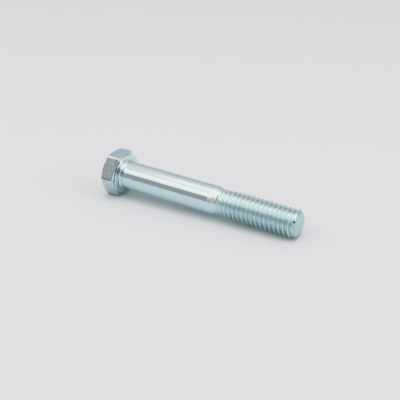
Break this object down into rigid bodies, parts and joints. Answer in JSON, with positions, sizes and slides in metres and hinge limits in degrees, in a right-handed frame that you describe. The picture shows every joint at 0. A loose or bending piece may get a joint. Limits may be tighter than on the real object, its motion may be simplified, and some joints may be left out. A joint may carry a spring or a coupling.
{
  "type": "hex bolt",
  "caption": "Hex head bolt with a washer face, a plain round shank and a coarse right-hand thread ending in a chamfered point.",
  "frame": {"origin": "centre of the bearing plane under the head, on the bolt's axis", "axes": "+X along the bolt's axis from the head to the point, +Z and -Z square to two flats of the head, two corners of the head on the Y axis"},
  "size_m": [0.0693, 0.0162, 0.0142],
  "materials": {
    "head_zinc": "zinc plated, cold headed, lightly scuffed",
    "shank_zinc": "zinc plated, smooth drawn, bright",
    "thread_zinc": "zinc plated over a rolled thread"
  },
  "bodies": {
    "root": {"hex_head": "head_zinc", "washer_face": "head_zinc", "head_fillet": "shank_zinc", "plain_shank": "shank_zinc", "thread_runout": "shank_zinc", "threaded_length": "thread_zinc", "chamfered_point": "thread_zinc"}
  },
  "joints": []
}
